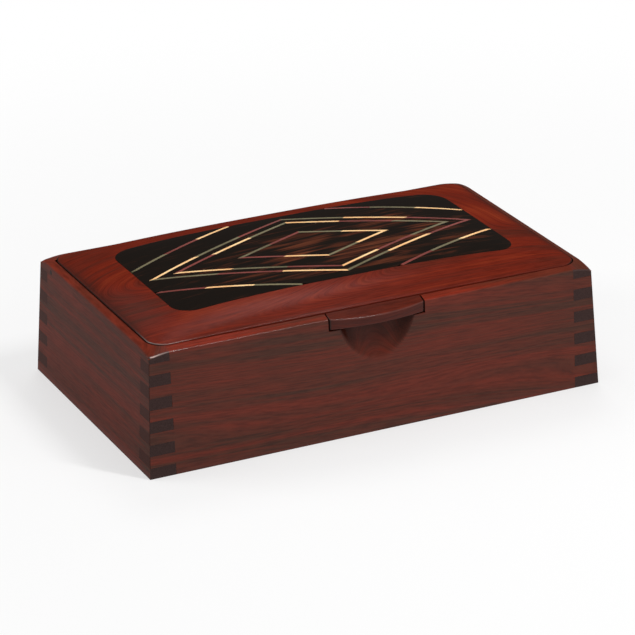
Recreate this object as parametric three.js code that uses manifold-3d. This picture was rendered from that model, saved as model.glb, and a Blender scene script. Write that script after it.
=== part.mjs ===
// An inlaid jewelry box: a finger-jointed carcase with leaning sides, a crowned lid that turns on
// concealed pins, a dark panel let into the lid and a lozenge of coloured stringing let into the panel.
// Millimetres. +X runs along the front to the right, +Y to the back and +Z up. The origin is at the
// middle of the foot.

import * as THREE from 'three';
import { ConvexGeometry } from 'three/addons/geometries/ConvexGeometry.js';
import { mergeVertices } from 'three/addons/utils/BufferGeometryUtils.js';
import Module from 'manifold-3d';

const wasm = await Module();
wasm.setup();

// Carcase
const boxLength = 305;
const boxDepth = 184;
const wallHeight = 78.9;
const wallStock = 17;
const endLean = 4.2;
const frontLean = 5.05;
const fingerCount = 11;
const glueLine = 0.05;

// Rim, which falls away outwards from the lid's opening
const rimAtEnds = 4.8;
const rimAtFront = 5.5;
const rimSlope = 0.3;
const openingCorner = 11.5;

// Bottom, held in a groove in the four walls, and its lining
const bottomThickness = 6;
const bottomRaise = 5;
const grooveDepth = 5;
const bottomPlay = 0.4;
const liningThickness = 2.5;
const liningCorner = 3;
const softClearance = 0.4;

// Lid
const lidGap = 0.7;
const lidEdge = 9.2;
const lidProud = 0.2;
const lidRest = 0.3;
const crownRise = 10.9;
const crownAlong = 2.8;
const crownAcross = 5;
const crownFallAlong = 0.7;
const crownFallAcross = 0.8;

// Dark panel let into the lid
const borderAtEnds = 27.7;
const borderAtFront = 25.55;
const panelCorner = 14;
const panelSeatRise = 1.1;

// Coloured stringing let into the panel
const stringWidth = 1.9;
const stringThickness = 1.2;
const lozengeMarginAtEnds = 4.1;
const lozengeMarginAtFront = 6.1;
const lozengeBand = 16;
const smallLozengeInset = 43;
const cornerLozengeOutset = 48;

// Pull on the lid's front edge, and the thumb scoop below it
const pullWidth = 63;
const pullBulge = 3.8;
const pullGap = 0.9;
const tongueWidth = 44;
const tongueDepth = 6;
const tongueThickness = 3;
const scoopHalfWidth = 30;
const scoopHalfDepth = 20.8;
const scoopHalfHeight = 43.7;
const scoopOutside = 4.8;
const scoopRise = 11;
const scoopTilt = 11.3;

// Concealed hinge pins
const pinRadius = 1.5;
const pinLength = 15.5;
const pinFit = 0.05;
const pinClearance = 0.15;
const pinSeat = 2.5;
const hingeInset = 12.6;
const hingeDrop = 5.1;
const lidOpening = 95;
const swingClearance = 0.4;
const stopLength = 240;
const stopReach = 48;

// Fineness of the facets
const arcSteps = 8;
const pinFacets = 24;
const scoopColumns = 48;
const scoopRows = 32;
const crownColumns = 30;
const crownRows = 18;
const sectionSamples = 60;
const stopStep = 4;
const swingSamples = 20;

// Sizes that follow from those above
const innerLength = boxLength - 2 * wallStock;
const innerDepth = boxDepth - 2 * wallStock;
const openingLength = boxLength - 2 * (endLean + rimAtEnds);
const openingDepth = boxDepth - 2 * (frontLean + rimAtFront);
const lidLength = openingLength - 2 * lidGap;
const lidDepth = openingDepth - 2 * lidGap;
const lidCorner = openingCorner - lidGap;
const lidUnderside = wallHeight - lidEdge;
const ledgeHeight = lidUnderside - lidRest;
const lidEdgeTop = wallHeight + lidProud;
const pullUnderside = ledgeHeight + pullGap;
const panelLength = lidLength - 2 * borderAtEnds;
const panelDepth = lidDepth - 2 * borderAtFront;
const panelSeat = wallHeight + panelSeatRise;
const outerLozenge = panelLength - 2 * lozengeMarginAtEnds;
const innerLozenge = outerLozenge - 2 * lozengeBand;
const smallLozenge = innerLozenge - 2 * smallLozengeInset;
const cornerLozenge = outerLozenge + 2 * cornerLozengeOutset;
const lozengeSlope = (panelDepth - 2 * lozengeMarginAtFront) / outerLozenge;
const hingeY = openingDepth / 2 - hingeInset;
const hingeZ = wallHeight - hingeDrop;
const beyond = boxLength;

// Conversions between the scene's geometries and closed solids

function solidOf(geometry) {
  const bare = geometry.clone();
  bare.deleteAttribute('normal');
  bare.deleteAttribute('uv');
  const merged = mergeVertices(bare, 1e-5);
  const mesh = new wasm.Mesh({
    numProp: 3,
    vertProperties: new Float32Array(merged.attributes.position.array),
    triVerts: new Uint32Array(merged.index.array),
  });
  return new wasm.Manifold(mesh);
}

function geometryOf(solid) {
  const mesh = solid.getMesh();
  const geometry = new THREE.BufferGeometry();
  geometry.setAttribute('position', new THREE.BufferAttribute(new Float32Array(mesh.vertProperties), 3));
  geometry.setIndex(new THREE.BufferAttribute(new Uint32Array(mesh.triVerts), 1));
  geometry.computeVertexNormals();
  return geometry;
}

function joined(solids) {
  return solids.reduce((whole, next) => whole.add(next));
}

// Blocks, slabs and bars

function block(lowX, highX, lowY, highY, lowZ, highZ) {
  const box = new THREE.BoxGeometry(highX - lowX, highY - lowY, highZ - lowZ);
  box.translate((lowX + highX) / 2, (lowY + highY) / 2, (lowZ + highZ) / 2);
  return solidOf(box);
}

function roundedRectangle(length, depth, corner) {
  const x = length / 2;
  const y = depth / 2;
  const shape = new THREE.Shape();
  shape.absarc(x - corner, y - corner, corner, 0, Math.PI / 2);
  shape.absarc(corner - x, y - corner, corner, Math.PI / 2, Math.PI);
  shape.absarc(corner - x, corner - y, corner, Math.PI, 1.5 * Math.PI);
  shape.absarc(x - corner, corner - y, corner, 1.5 * Math.PI, 2 * Math.PI);
  shape.closePath();
  return shape;
}

function slab(shape, bottom, top) {
  const options = { depth: top - bottom, bevelEnabled: false, curveSegments: arcSteps };
  const geometry = new THREE.ExtrudeGeometry(shape, options);
  geometry.translate(0, 0, bottom);
  return solidOf(geometry);
}

// A profile drawn in Y and Z and drawn out along X
function barAlongX(profile, length) {
  const geometry = new THREE.ExtrudeGeometry(profile, { depth: length, bevelEnabled: false });
  const axes = new THREE.Matrix4().makeBasis(
    new THREE.Vector3(0, 1, 0), new THREE.Vector3(0, 0, 1), new THREE.Vector3(1, 0, 0));
  geometry.translate(0, 0, -length / 2);
  geometry.applyMatrix4(axes);
  return solidOf(geometry);
}

function rodAlongX(radius, fromX, toX) {
  const rod = new THREE.CylinderGeometry(radius, radius, toX - fromX, pinFacets);
  rod.rotateZ(-Math.PI / 2);
  rod.translate((fromX + toX) / 2, hingeY, hingeZ);
  return solidOf(rod);
}

// Carcase: four leaning faces under a rim that falls away from the opening's rounded outline

function ringPoints(outset, z) {
  const length = openingLength + 2 * outset;
  const depth = openingDepth + 2 * outset;
  const outline = roundedRectangle(length, depth, openingCorner + outset);
  return outline.getPoints(arcSteps).map((point) => new THREE.Vector3(point.x, point.y, z));
}

function rimRoof() {
  const reach = wallStock + endLean + frontLean;
  const points = [
    ...ringPoints(0, wallHeight),
    ...ringPoints(reach, wallHeight - rimSlope * reach),
    ...ringPoints(reach, 0),
  ];
  return solidOf(new ConvexGeometry(points));
}

function leaningBlank() {
  const x = boxLength / 2;
  const y = boxDepth / 2;
  const corners = [];
  for (const sideX of [-1, 1]) {
    for (const sideY of [-1, 1]) {
      corners.push(new THREE.Vector3(sideX * x, sideY * y, 0));
      corners.push(new THREE.Vector3(sideX * (x - endLean), sideY * (y - frontLean), wallHeight));
    }
  }
  return solidOf(new ConvexGeometry(corners));
}

// Height of the lid's crowned top over a point of its plan
function crownAt(x, y) {
  const along = Math.max(0, 1 - Math.abs(2 * x / lidLength) ** crownAlong);
  const across = Math.max(0, 1 - Math.abs(2 * y / lidDepth) ** crownAcross);
  return lidEdgeTop + crownRise * along ** crownFallAlong * across ** crownFallAcross;
}

// How far the lid's back edge lies behind the hinge line at a place along the lid
function tailAt(x) {
  const cornerStart = lidLength / 2 - lidCorner;
  const along = Math.min(Math.max(0, Math.abs(x) - cornerStart), lidCorner);
  const straightTail = lidDepth / 2 - hingeY;
  return straightTail - lidCorner + Math.sqrt(lidCorner ** 2 - along ** 2);
}

// How far from the hinge line the open lid's top stands, at the height of the rim
function standingReach(x) {
  const past = THREE.MathUtils.degToRad(lidOpening - 90);
  const rim = wallHeight - hingeZ;
  const top = crownAt(x, hingeY) - hingeZ;
  const behind = (top + rim * Math.sin(past)) / Math.cos(past);
  return Math.hypot(behind, rim);
}

// The space that the lid's back edge sweeps as it turns: a roller with rounded ends
function hingeCove() {
  const steps = 2 * arcSteps;
  const cornerStart = lidLength / 2 - lidCorner;
  const places = [];
  for (let step = 0; step <= steps; step += 1) {
    places.push(cornerStart + lidCorner * Math.sin(step / steps * Math.PI / 2));
  }
  const radiusAt = (x) => {
    const tail = Math.hypot(tailAt(x), lidEdgeTop - hingeZ);
    return Math.max(tail, standingReach(x)) + swingClearance;
  };
  const endX = openingLength / 2;
  const rightSide = places.map((x) => new THREE.Vector2(radiusAt(x), x));
  const leftSide = places.toReversed().map((x) => new THREE.Vector2(radiusAt(x), -x));
  const profile = [
    new THREE.Vector2(0, -endX),
    new THREE.Vector2(radiusAt(lidLength / 2), -endX),
    ...leftSide,
    ...rightSide,
    new THREE.Vector2(radiusAt(lidLength / 2), endX),
    new THREE.Vector2(0, endX),
  ];
  const roller = new THREE.LatheGeometry(profile, 2 * pinFacets);
  roller.rotateZ(-Math.PI / 2);
  roller.translate(0, hingeY, hingeZ);
  return solidOf(roller);
}

// The bevel inside the back rim that the lid's crown leans against when it is open
function stopBevel() {
  const outline = [];
  for (let sample = 0; sample <= sectionSamples; sample += 1) {
    const y = lidDepth / 2 * (1 - sample / sectionSamples);
    const behind = y - hingeY;
    const above = crownAt(0, y) - hingeZ;
    outline.push({ angle: Math.atan2(above, behind), radius: Math.hypot(above, behind) });
  }
  const radiusToward = (angle) => {
    const next = outline.findIndex((point) => point.angle >= angle);
    return next < 0 ? outline.at(-1).radius : outline[next].radius;
  };
  const turn = THREE.MathUtils.degToRad(lidOpening);
  const profile = new THREE.Shape();
  profile.moveTo(hingeY, hingeZ);
  for (let degrees = 0; degrees <= stopReach; degrees += stopStep) {
    const angle = THREE.MathUtils.degToRad(degrees);
    let radius = 0;
    for (let sample = 0; sample <= swingSamples; sample += 1) {
      radius = Math.max(radius, radiusToward(angle + sample / swingSamples * turn));
    }
    radius += swingClearance;
    profile.lineTo(hingeY + radius * Math.cos(angle), hingeZ + radius * Math.sin(angle));
  }
  profile.closePath();
  return barAlongX(profile, stopLength);
}

function pinHole(side) {
  const inside = openingLength / 2 - 1;
  const outside = boxLength / 2 + 1;
  const radius = pinRadius + pinFit;
  return side > 0 ? rodAlongX(radius, inside, outside) : rodAlongX(radius, -outside, -inside);
}

function carcase() {
  const x = innerLength / 2;
  const y = innerDepth / 2;
  const cavity = block(-x, x, -y, y, -1, wallHeight + 1);
  const openingShape = roundedRectangle(openingLength, openingDepth, openingCorner);
  const opening = slab(openingShape, ledgeHeight, wallHeight + 1);
  const grooveX = x + grooveDepth;
  const grooveY = y + grooveDepth;
  const groove = block(-grooveX, grooveX, -grooveY, grooveY, bottomRaise, bottomRaise + bottomThickness);
  return leaningBlank()
    .intersect(rimRoof())
    .subtract(cavity)
    .subtract(opening)
    .subtract(groove)
    .subtract(hingeCove())
    .subtract(stopBevel())
    .subtract(pinHole(-1))
    .subtract(pinHole(1));
}

// Finger joints: the end walls own the first finger and every second one above it, and the front and
// back walls own those between

function fingerBlocks(firstFinger, lowX, highX, lowY, highY) {
  const pitch = wallHeight / fingerCount;
  const blocks = [];
  for (let finger = firstFinger; finger < fingerCount; finger += 2) {
    const bottom = finger === 0 ? -1 : finger * pitch + glueLine / 2;
    const top = finger === fingerCount - 1 ? wallHeight + 1 : (finger + 1) * pitch - glueLine / 2;
    blocks.push(block(lowX, highX, lowY, highY, bottom, top));
  }
  return blocks;
}

function longWallRegion(side) {
  const near = innerDepth / 2;
  const x = innerLength / 2 - glueLine / 2;
  const rows = side > 0 ? [near, beyond] : [-beyond, -near];
  const middle = block(-x, x, ...rows, -1, wallHeight + 1);
  return joined([middle, ...fingerBlocks(1, -beyond, beyond, ...rows)]);
}

function endWallRegion(side) {
  const near = innerLength / 2 + glueLine / 2;
  const y = innerDepth / 2 - glueLine;
  const columns = side > 0 ? [near, beyond] : [-beyond, -near];
  const middle = block(...columns, -y, y, -1, wallHeight + 1);
  return joined([middle, ...fingerBlocks(0, ...columns, -beyond, beyond)]);
}

// Thumb scoop: a tilted egg-shaped cut in the front wall's face, under the pull
function thumbScoop() {
  const egg = new THREE.SphereGeometry(1, scoopColumns, scoopRows);
  egg.rotateX(Math.PI / 2);
  egg.scale(scoopHalfWidth, scoopHalfDepth, scoopHalfHeight);
  egg.rotateX(THREE.MathUtils.degToRad(-scoopTilt));
  egg.translate(0, -(boxDepth / 2 + scoopOutside), ledgeHeight + scoopRise);
  return solidOf(egg);
}

function pullNotch() {
  const x = pullWidth / 2 + pullGap;
  return block(-x, x, -beyond, -openingDepth / 2 + 1, ledgeHeight, wallHeight + 1);
}

// Lid

// The crowned blank: a fine grid whose top is lifted to the crown, closer spaced towards its edges
function crownedBlank(bottom, lowered = 0) {
  const geometry = new THREE.BoxGeometry(2, 2, 2, crownColumns, crownRows, 1);
  const place = geometry.attributes.position;
  for (let index = 0; index < place.count; index += 1) {
    const x = lidLength / 2 * Math.sin(place.getX(index) * Math.PI / 2);
    const y = lidDepth / 2 * Math.sin(place.getY(index) * Math.PI / 2);
    const z = place.getZ(index) > 0 ? crownAt(x, y) - lowered : bottom;
    place.setXYZ(index, x, y, z);
  }
  return solidOf(geometry);
}

function panelOutline(clearance) {
  const shrink = 2 * clearance;
  return roundedRectangle(panelLength - shrink, panelDepth - shrink, panelCorner - clearance);
}

function lidBoard() {
  const outline = slab(roundedRectangle(lidLength, lidDepth, lidCorner), lidUnderside - 1, beyond);
  const recess = slab(panelOutline(0), panelSeat, beyond);
  const holeRadius = pinRadius + pinClearance;
  const holeStart = openingLength / 2 + pinSeat - pinLength - swingClearance;
  const rightHole = rodAlongX(holeRadius, holeStart, beyond);
  const leftHole = rodAlongX(holeRadius, -beyond, -holeStart);
  return crownedBlank(lidUnderside)
    .intersect(outline)
    .subtract(recess)
    .subtract(rightHole)
    .subtract(leftHole)
    .subtract(pullTongue(glueLine));
}

// Stringing: concentric lozenges of short straight strips with mitred points

const strings = [
  { name: 'small', length: smallLozenge, pieces: 2 },
  { name: 'inner', length: innerLozenge, pieces: 3 },
  { name: 'outer', length: outerLozenge, pieces: 3 },
  { name: 'corner', length: cornerLozenge, pieces: 3 },
];
const stringColours = ['cream', 'grey_green', 'red_brown'];
const lozengeSides = ['back_right', 'back_left', 'front_left', 'front_right'];

function lozengeCorners(length) {
  const x = length / 2;
  const y = x * lozengeSlope;
  return [[x, 0], [0, y], [-x, 0], [0, -y]].map(([cornerX, cornerY]) => new THREE.Vector2(cornerX, cornerY));
}

// The stretch of a lozenge's side that lies on the panel, as shares of the side's length
function visibleStretch(length) {
  const x = length / 2;
  const y = x * lozengeSlope;
  const nearPoint = Math.max(0, 1 - panelLength / 2 / x);
  const farPoint = Math.min(1, panelDepth / 2 / y);
  return [nearPoint, farPoint];
}

function stringPlan(length, side, from, to, clearance) {
  const halfX = length / 2;
  const toSide = halfX * lozengeSlope / Math.hypot(1, lozengeSlope);
  const outerCorners = lozengeCorners(length * (1 + clearance / toSide));
  const innerCorners = lozengeCorners(length * (1 - (stringWidth + clearance) / toSide));
  const sideLength = halfX * Math.hypot(1, lozengeSlope);
  const give = clearance / sideLength;
  const along = (corners, share) => corners[side].clone().lerp(corners[(side + 1) % 4], share);
  return new THREE.Shape([
    along(outerCorners, from - give),
    along(outerCorners, to + give),
    along(innerCorners, to + give),
    along(innerCorners, from - give),
  ]);
}

function stringSpans({ length, pieces }, side) {
  const [start, end] = visibleStretch(length);
  const turned = side % 2 === 1;
  const first = turned ? 1 - end : start;
  const step = (end - start) / pieces;
  return Array.from({ length: pieces }, (_, piece) => [first + piece * step, first + (piece + 1) * step]);
}

function eachString(visit) {
  for (const run of strings) {
    for (let side = 0; side < 4; side += 1) {
      stringSpans(run, side).forEach(([from, to], piece) => {
        const turned = side % 2 === 1;
        const order = turned ? run.pieces - 1 - piece : piece;
        visit({ run, side, from, to, order });
      });
    }
  }
}

function lidPanel(blank, groundBelowStrings) {
  const grooves = [];
  eachString(({ run, side, from, to }) => {
    grooves.push(slab(stringPlan(run.length, side, from, to, glueLine), panelSeat, beyond));
  });
  const cutters = joined(grooves).subtract(groundBelowStrings);
  return blank.intersect(slab(panelOutline(glueLine), panelSeat + glueLine, beyond)).subtract(cutters);
}

function stringSolid(blank, ground, run, side, from, to) {
  const sideLength = run.length / 2 * Math.hypot(1, lozengeSlope);
  const give = glueLine / 2 / sideLength;
  const plan = stringPlan(run.length, side, from + give, to - give, 0);
  return blank
    .intersect(slab(plan, panelSeat, beyond))
    .intersect(slab(panelOutline(glueLine), panelSeat, beyond))
    .subtract(ground);
}

// Pull: a bowed bar glued to the lid's front edge by a tongue

function pullTongue(clearance) {
  const x = tongueWidth / 2 + clearance;
  const middle = (lidUnderside + wallHeight) / 2;
  const z = tongueThickness / 2 + clearance;
  const edge = -lidDepth / 2;
  return block(-x, x, edge - 1, edge + tongueDepth + clearance, middle - z, middle + z);
}

function lidPull() {
  const x = pullWidth / 2;
  const back = -lidDepth / 2 - glueLine;
  const lean = frontLean * pullUnderside / wallHeight;
  const ends = -(boxDepth / 2 - lean);
  const radius = (x ** 2 + pullBulge ** 2) / (2 * pullBulge);
  const halfAngle = Math.asin(x / radius);
  const plan = new THREE.Shape();
  plan.moveTo(x, ends);
  plan.lineTo(x, back);
  plan.lineTo(-x, back);
  plan.lineTo(-x, ends);
  plan.absarc(0, ends - pullBulge + radius, radius, -Math.PI / 2 - halfAngle, -Math.PI / 2 + halfAngle);
  const options = { depth: wallHeight + 1 - pullUnderside, bevelEnabled: false, curveSegments: 3 * arcSteps };
  const geometry = new THREE.ExtrudeGeometry(plan, options);
  geometry.translate(0, 0, pullUnderside);
  return solidOf(geometry).intersect(rimRoof()).add(pullTongue(0));
}

// Hinge pins and the plugs that hide them

function hingePin(side) {
  const outer = openingLength / 2 + pinSeat;
  const inner = outer - pinLength;
  return side > 0 ? rodAlongX(pinRadius, inner, outer) : rodAlongX(pinRadius, -outer, -inner);
}

function pinPlug(side) {
  const inner = openingLength / 2 + pinSeat + glueLine;
  const outer = boxLength / 2;
  const rod = side > 0 ? rodAlongX(pinRadius, inner, outer) : rodAlongX(pinRadius, -outer, -inner);
  return rod.intersect(leaningBlank());
}

// Bottom and lining

function bottomPanel() {
  const x = innerLength / 2 + grooveDepth - bottomPlay;
  const y = innerDepth / 2 + grooveDepth - bottomPlay;
  const bottom = bottomRaise + glueLine;
  return block(-x, x, -y, y, bottom, bottomRaise + bottomThickness - glueLine);
}

function baseLining() {
  const length = innerLength - 2 * softClearance;
  const depth = innerDepth - 2 * softClearance;
  const shape = roundedRectangle(length, depth, liningCorner);
  const bottom = bottomRaise + bottomThickness + softClearance;
  return slab(shape, bottom, bottom + liningThickness);
}

// Finishes

function timber(colour, roughness) {
  return new THREE.MeshStandardMaterial({ color: colour, roughness, metalness: 0 });
}

const finishes = {
  wall: timber(0x6e3428, 0.42),
  lid: timber(0x8a3a22, 0.38),
  panel: timber(0x1f1712, 0.32),
  pull: timber(0x64251d, 0.4),
  bottom: timber(0xa98258, 0.6),
  plug: timber(0x2b1a14, 0.5),
  cream: timber(0xe0b060, 0.4),
  grey_green: timber(0x6e6648, 0.45),
  red_brown: timber(0x6d2a22, 0.42),
};
const brass = new THREE.MeshStandardMaterial({ color: 0xb08d45, roughness: 0.3, metalness: 1 });
const suede = new THREE.MeshStandardMaterial({ color: 0x2c2a2c, roughness: 0.95, metalness: 0 });

// Assembly: the box and the lid that turns on it

const box = new THREE.Group();
const lid = new THREE.Group();

function addPiece(group, name, solid, material) {
  const mesh = new THREE.Mesh(geometryOf(solid), material);
  mesh.name = name;
  group.add(mesh);
}

const walls = carcase();
const frontWall = walls.intersect(longWallRegion(-1)).subtract(pullNotch()).subtract(thumbScoop());
addPiece(box, 'front_wall', frontWall, finishes.wall);
addPiece(box, 'back_wall', walls.intersect(longWallRegion(1)), finishes.wall);
addPiece(box, 'left_wall', walls.intersect(endWallRegion(-1)), finishes.wall);
addPiece(box, 'right_wall', walls.intersect(endWallRegion(1)), finishes.wall);
addPiece(box, 'bottom_panel', bottomPanel(), finishes.bottom);
addPiece(box, 'base_lining', baseLining(), suede);
for (const [name, side] of [['left', -1], ['right', 1]]) {
  addPiece(box, `${name}_hinge_pin`, hingePin(side), brass);
  addPiece(box, `${name}_pin_plug`, pinPlug(side), finishes.plug);
}

const blank = crownedBlank(lidUnderside);
const groundBelowStrings = crownedBlank(lidUnderside, stringThickness + glueLine);
const stringGround = crownedBlank(lidUnderside, stringThickness);
addPiece(lid, 'lid_board', lidBoard(), finishes.lid);
addPiece(lid, 'lid_panel', lidPanel(blank, groundBelowStrings), finishes.panel);
addPiece(lid, 'lid_pull', lidPull(), finishes.pull);
eachString(({ run, side, from, to, order }) => {
  const colour = stringColours[(order + side + strings.indexOf(run)) % stringColours.length];
  const solid = stringSolid(blank, stringGround, run, side, from, to);
  addPiece(lid, `inlay_${run.name}_${lozengeSides[side]}_${order + 1}_${colour}`, solid, finishes[colour]);
});

const jewelryBox = new THREE.Group();
jewelryBox.add(box, lid);

export default jewelryBox;
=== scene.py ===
# %% [markdown]
# # A jewelry box with an inlaid lid
# This script dresses a small hardwood box: leaning walls with finger joints, a crowned lid on hidden
# pins, a near-black panel let into the lid and coloured stringing let into the panel.
# The solids come from the part's own model, in metres, with the foot on z = 0 and the front towards -y.
# The script adds what a woodworker adds last: eased edges, a fair crown, a suede lining and a lacquered
# finish for every kind of wood.

# %% Load the box
from math import cos, hypot, pi, radians, sin, sqrt

import bmesh
import bpy
from mathutils import Matrix, Vector


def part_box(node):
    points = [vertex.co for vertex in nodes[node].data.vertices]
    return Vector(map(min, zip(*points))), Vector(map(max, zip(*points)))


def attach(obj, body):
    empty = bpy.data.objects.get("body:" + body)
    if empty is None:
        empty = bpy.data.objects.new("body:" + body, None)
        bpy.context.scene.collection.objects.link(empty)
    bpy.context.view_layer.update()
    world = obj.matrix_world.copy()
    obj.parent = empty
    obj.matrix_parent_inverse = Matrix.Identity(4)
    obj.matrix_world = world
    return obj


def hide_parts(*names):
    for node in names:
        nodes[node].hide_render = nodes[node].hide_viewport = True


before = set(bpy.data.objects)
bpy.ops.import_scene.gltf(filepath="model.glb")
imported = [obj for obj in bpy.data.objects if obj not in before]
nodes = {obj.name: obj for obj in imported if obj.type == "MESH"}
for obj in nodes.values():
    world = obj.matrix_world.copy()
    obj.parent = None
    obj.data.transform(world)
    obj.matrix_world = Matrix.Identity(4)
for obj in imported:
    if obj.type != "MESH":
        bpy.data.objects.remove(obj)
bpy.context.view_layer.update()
mm = 0.001
print("pieces in the box:", len(nodes))

# %% [markdown]
# ## The camera
# A long lens from two metres away keeps the box's edges nearly parallel. The camera could be aimed by a
# constraint, but a matrix made of its three axes says exactly how it stands: 25 degrees to the left of the
# front, 23 degrees above the table, and tilted by less than a degree.

# %% Place the camera
def hang(name, data):
    """Puts a new object into the scene."""
    thing = bpy.data.objects.new(name, data)
    bpy.context.scene.collection.objects.link(thing)
    return thing


frame_pixels = 635
focal_pixels = 3187
azimuth = radians(-25.387)
elevation = radians(22.758)
roll = radians(-0.923)
camera_distance = 1.9986
aim = Vector((0.00187, 0, 0.03967))

back = Vector((sin(azimuth) * cos(elevation), -cos(azimuth) * cos(elevation), sin(elevation)))
level = Vector((cos(azimuth), sin(azimuth), 0))
upright = back.cross(level)
right = cos(roll) * level + sin(roll) * upright
up = cos(roll) * upright - sin(roll) * level
camera_data = bpy.data.cameras.new("long_lens")
camera_data.lens = focal_pixels / frame_pixels * camera_data.sensor_width
camera = hang("camera", camera_data)
axes = Matrix((right, up, back)).transposed().to_4x4()
camera.matrix_world = Matrix.Translation(aim + camera_distance * back) @ axes
bpy.context.scene.camera = camera
print("lens in mm:", round(camera_data.lens, 1))

# %% [markdown]
# ## The light
# A broad softbox overhead lights the lid more than the walls. One at the front right shows the hollow of
# the thumb scoop and isn't mirrored in the wall, one at the left lights the end wall, and one at the back
# puts a soft shine on the lid's front border. A narrow strip high at the front draws the line of light on the
# rim's front left corner. One big lamp would be simpler, but would light the walls and the hollow alike.

# %% Hang the softboxes
def softbox(name, place, size, watts):
    """A rectangular lamp that faces the middle of the box."""
    data = bpy.data.lights.new(name, "AREA")
    data.shape = "RECTANGLE"
    data.size, data.size_y = size
    data.energy = watts
    lamp = hang(name, data)
    lamp.location = place
    lamp.rotation_euler = (Vector(place) - aim).to_track_quat("Z", "Y").to_euler()
    print(name, "gives", watts, "W")
    return lamp


softbox("overhead_softbox", (-0.2, 0.1, 1.9), (1.0, 1.0), 7)
softbox("front_softbox", (1.2, -1.7, 0.9), (1.0, 1.0), 8.2).visible_glossy = False
softbox("left_softbox", (-1.5, 0.8, 1.0), (0.9, 0.9), 9)
softbox("back_softbox", (0.5, 1.0, 1.66), (0.7, 0.7), 6)
softbox("rim_softbox", (0.4, -0.62, 1.25), (0.08, 0.5), 8)

# %% [markdown]
# ### The room
# A white room adds an even glow from all around. What the lens sees of it, straight or mirrored, is plain
# white, but it throws much less on the box, or the shadows would drown. A lamp behind the box could whiten
# the room too, but here one number that depends on the kind of ray does it.
#
# Every material is a tree of nodes. Each helper here adds one node and hands on what comes out of it.

# %% Helpers for node trees
def add(kind, sockets=None, tree=None, **settings):
    """Adds a node. A socket takes a value or another node's output, whose tree the new node joins."""
    outputs = {socket: value for socket, value in (sockets or {}).items() if hasattr(value, "id_data")}
    tree = tree or list(outputs.values())[0].id_data
    node = tree.nodes.new("ShaderNode" + kind)
    for setting, value in settings.items():
        setattr(node, setting, value)
    for socket, value in (sockets or {}).items():
        if socket in outputs:
            tree.links.new(value, node.inputs[socket])
        else:
            node.inputs[socket].default_value = value
    return node


def number(operation, *values, **settings):
    """A number worked out from others."""
    return add("Math", dict(enumerate(values)), operation=operation, **settings).outputs[0]


def between(value, low=0, high=1, start=0, end=1, soft=False):
    """Takes a value from start and end over to low and high, and holds it there beyond them."""
    sockets = {"Value": value, "From Min": start, "From Max": end, "To Min": low, "To Max": high}
    return add("MapRange", sockets, interpolation_type="SMOOTHSTEP" if soft else "LINEAR").outputs[0]

# %% Fill in the room's glow
def seen_by_lens(tree):
    """1 for rays seen straight, mirrored or through glass, and 0 for those that light something."""
    path = add("LightPath", tree=tree).outputs
    seen = number("MAXIMUM", path["Is Camera Ray"], path["Is Glossy Ray"])
    return number("MAXIMUM", seen, path["Is Transmission Ray"])


glow = 0.24
world = bpy.data.worlds.new("studio")
world.use_nodes = True
bpy.context.scene.world = world
tree = world.node_tree
background = tree.nodes["Background"].inputs
background["Color"].default_value = (1, 1, 1, 1)
tree.links.new(between(seen_by_lens(tree), low=glow), background["Strength"])
bpy.context.scene.view_settings.view_transform = "Standard"
print("the room glows with", glow, "and looks white")

# %% [markdown]
# ## The table
# A plain pale sheet that keeps the box's shadow. A sheet that only catches shadows would do too, but it
# would throw no light back. Near the box it is matt white, and further off it fades to the white of the
# room, so that no horizon shows. What it throws at the walls is that of a greyer sheet.

# %% Paint the sheet
def fresh_material(name):
    """A new material, with its tree and its surface shader."""
    material = bpy.data.materials.new(name)
    material.use_nodes = True
    return material, material.node_tree, material.node_tree.nodes["Principled BSDF"]


def here(tree):
    """The painted point, in metres from the middle of the box's foot."""
    return add("TexCoord", tree=tree).outputs["Object"]


def axis_of(value, axis):
    """One number of a vector."""
    return add("SeparateXYZ", {0: value}).outputs[axis]


def vector(operation, first, second=(0, 0, 0), scale=1):
    """A vector worked out from others, or a number for a length or a dot product."""
    node = add("VectorMath", {0: first, 1: second, 3: scale}, operation=operation)
    return node.outputs["Value" if operation in ("LENGTH", "DOT_PRODUCT") else "Vector"]


near_edge, far_edge = 0.15, 0.75
sheet_white, sheet_thrown, sheet_lift = 0.93, 0.42, 0.55
table_material, tree, _ = fresh_material("white_sheet")
seen = seen_by_lens(tree)
fade = between(vector("LENGTH", here(tree)), sheet_lift, 1, near_edge, far_edge, soft=True)
matt = add("BsdfDiffuse", {"Color": between(seen, sheet_thrown, sheet_white)})
white = add("Emission", {"Color": (1, 1, 1, 1), "Strength": 1}, tree)
share = number("MULTIPLY", fade, seen)
sheet = add("MixShader", {0: share, 1: matt.outputs[0], 2: white.outputs[0]})
tree.links.new(sheet.outputs[0], tree.nodes["Material Output"].inputs["Surface"])

# %% Lay the table
table_half = 6
table_mesh = bpy.data.meshes.new("table")
corners = [(table_half * x, table_half * y, 0) for x, y in [(-1, -1), (1, -1), (1, 1), (-1, 1)]]
table_mesh.from_pydata(corners, [], [(0, 1, 2, 3)])
table_mesh.materials.append(table_material)
table = hang("table", table_mesh)
print("table:", 2 * table_half, "m square")

# %% [markdown]
# ## Woods
# A board is a slice of a log, and its figure is a set of rings about the pith, drawn out along the grain.
# So the distance from a pith line, bent a little by noise, runs through a one-dimensional noise that gives
# growth bands of uneven width. On a long face they show as streaks, and on a cut end as arcs. An image could
# show one board well, but rings worked out in space fit every face of every piece.

# %% Noise and colour
def ramp(value, tones, places=(0.35, 0.65)):
    """Runs a value through a ramp of colours."""
    node = add("ValToRGB", {"Fac": value})
    elements = node.color_ramp.elements
    while len(elements) < len(tones):
        elements.new(0.5)
    for element, tone, place in zip(elements, tones, places):
        element.position = place
        element.color = (*tone, 1)
    return node.outputs["Color"]


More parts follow.
